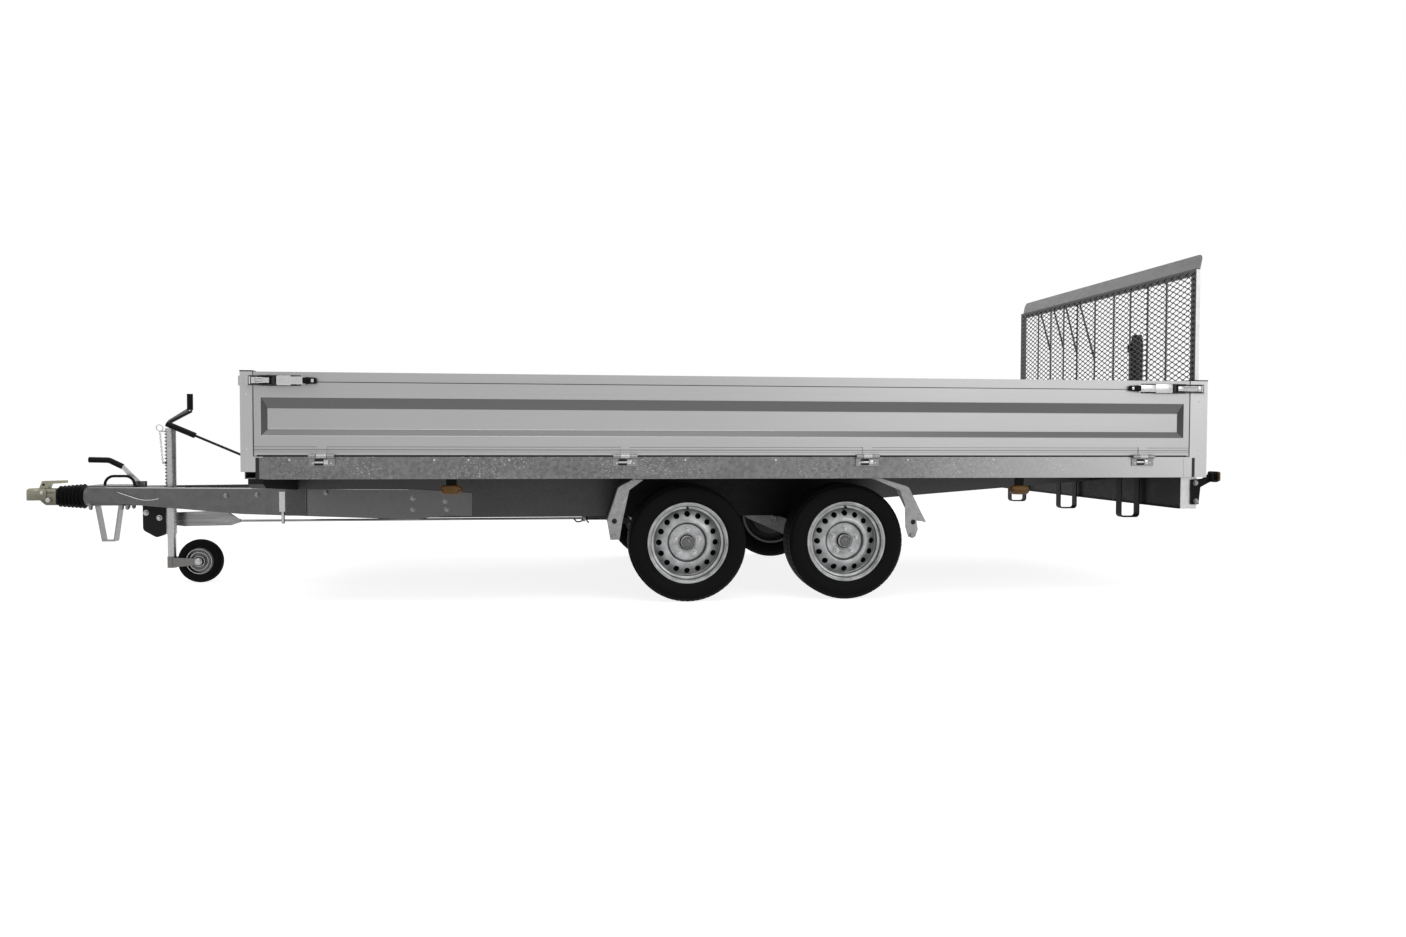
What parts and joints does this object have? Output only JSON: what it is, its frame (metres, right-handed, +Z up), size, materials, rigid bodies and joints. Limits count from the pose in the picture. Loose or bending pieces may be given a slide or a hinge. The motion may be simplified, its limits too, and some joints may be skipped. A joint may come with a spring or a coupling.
{
  "type": "utility trailer",
  "caption": "Tandem-axle flatbed utility trailer with drop sides, folding front board, mesh tail gate, V drawbar, overrun coupling and jockey wheel, towed to carry loads.",
  "frame": {"origin": "on the ground under the middle of the trailer's overall length and width", "axes": "+X forwards to the coupling, +Y to the trailer's left, +Z up"},
  "size_m": [5.654, 2.104, 1.594],
  "materials": {
    "galvanised": "spangled zinc",
    "dark_steel": "black paint",
    "aluminium": "satin",
    "zinc": "yellow zinc",
    "silver": "satin silver",
    "tyre": "matte",
    "rubber": "matte",
    "black_plastic": "matte",
    "plywood": "film faced",
    "amber": "clear gloss",
    "red": "clear gloss",
    "white": "matte"
  },
  "bodies": {
    "chassis": {"amber_lenses": "amber", "axles": "galvanised", "bed_beams": "galvanised", "bellows": "rubber", "bolster": "dark_steel", "brake_lever": "galvanised", "brake_rod": "galvanised", "cable_arch": "rubber", "chassis_beams": "galvanised", "corner_posts": "aluminium", "coupling_handle": "zinc", "coupling_head": "zinc", "cross_members": "galvanised", "drawbar": "galvanised", "floor_board": "plywood", "hand_lever": "galvanised", "hinge_plates": "galvanised", "hoops": "galvanised", "housing": "zinc", "jockey_clamp": "galvanised", "jockey_crank": "galvanised", "jockey_tube": "galvanised", "lamp_holders": "rubber", "lever_grips": "black_plastic", "mudguards": "galvanised", "nose_guard": "galvanised", "number_plate": "white", "post_caps": "black_plastic", "rear_lamps": "red", "relay_plate": "dark_steel", "tail_beam": "galvanised"},
    "wheel_front_left": {"tyre_front_left": "tyre", "rim_front_left": "silver"},
    "wheel_front_right": {"tyre_front_right": "tyre", "rim_front_right": "silver"},
    "wheel_rear_left": {"tyre_rear_left": "tyre", "rim_rear_left": "silver"},
    "wheel_rear_right": {"tyre_rear_right": "tyre", "rim_rear_right": "silver"},
    "side_left": {"board_left": "aluminium", "latches_board_left": "galvanised", "grips_board_left": "black_plastic"},
    "side_right": {"board_right": "aluminium", "latches_board_right": "galvanised", "grips_board_right": "black_plastic"},
    "front_wall": {"front_board": "aluminium", "latches_front_board": "galvanised", "grips_front_board": "black_plastic"},
    "tail_gate": {"gate_frame": "galvanised", "gate_lip": "galvanised", "gate_mesh": "galvanised", "gate_leg": "dark_steel", "latches_gate": "galvanised", "grips_gate": "black_plastic"},
    "jockey_slider": {"jockey_leg": "galvanised"},
    "jockey_castor": {"jockey_fork": "galvanised"},
    "jockey_roller": {"jockey_tyre": "rubber", "jockey_rim": "silver"}
  },
  "joints": [
    {"name": "wheel_front_left_spin", "type": "hinge", "parent": "chassis", "child": "wheel_front_left", "pos_m": [-0.324, 0.8675, 0.2625], "axis": [0, 1, 0], "continuous": true},
    {"name": "wheel_front_right_spin", "type": "hinge", "parent": "chassis", "child": "wheel_front_right", "pos_m": [-0.324, -0.8675, 0.2625], "axis": [0, 1, 0], "continuous": true},
    {"name": "wheel_rear_left_spin", "type": "hinge", "parent": "chassis", "child": "wheel_rear_left", "pos_m": [-1.044, 0.8675, 0.2625], "axis": [0, 1, 0], "continuous": true},
    {"name": "wheel_rear_right_spin", "type": "hinge", "parent": "chassis", "child": "wheel_rear_right", "pos_m": [-1.044, -0.8675, 0.2625], "axis": [0, 1, 0], "continuous": true},
    {"name": "side_left_drop", "type": "hinge", "parent": "chassis", "child": "side_left", "pos_m": [-0.584, 1.042, 0.648], "axis": [-1, 0, 0], "range_deg": [0, 180]},
    {"name": "side_right_drop", "type": "hinge", "parent": "chassis", "child": "side_right", "pos_m": [-0.584, -1.042, 0.648], "axis": [1, 0, 0], "range_deg": [0, 180]},
    {"name": "front_wall_drop", "type": "hinge", "parent": "chassis", "child": "front_wall", "pos_m": [1.551, 0, 0.648], "axis": [0, 1, 0], "range_deg": [0, 80]},
    {"name": "tail_gate_drop", "type": "hinge", "parent": "chassis", "child": "tail_gate", "pos_m": [-2.746, 0, 0.64], "axis": [0, -1, 0], "range_deg": [0, 132]},
    {"name": "jockey_lift", "type": "slide", "parent": "chassis", "child": "jockey_slider", "axis": [0, 0, 1], "range_m": [0, 0.105]},
    {"name": "jockey_swivel", "type": "hinge", "parent": "jockey_slider", "child": "jockey_castor", "pos_m": [2.146, 0.035, 0.132], "axis": [0, 0, 1], "continuous": true},
    {"name": "jockey_spin", "type": "hinge", "parent": "jockey_castor", "child": "jockey_roller", "pos_m": [2.01, 0.035, 0.108], "axis": [0, 1, 0], "continuous": true}
  ]
}
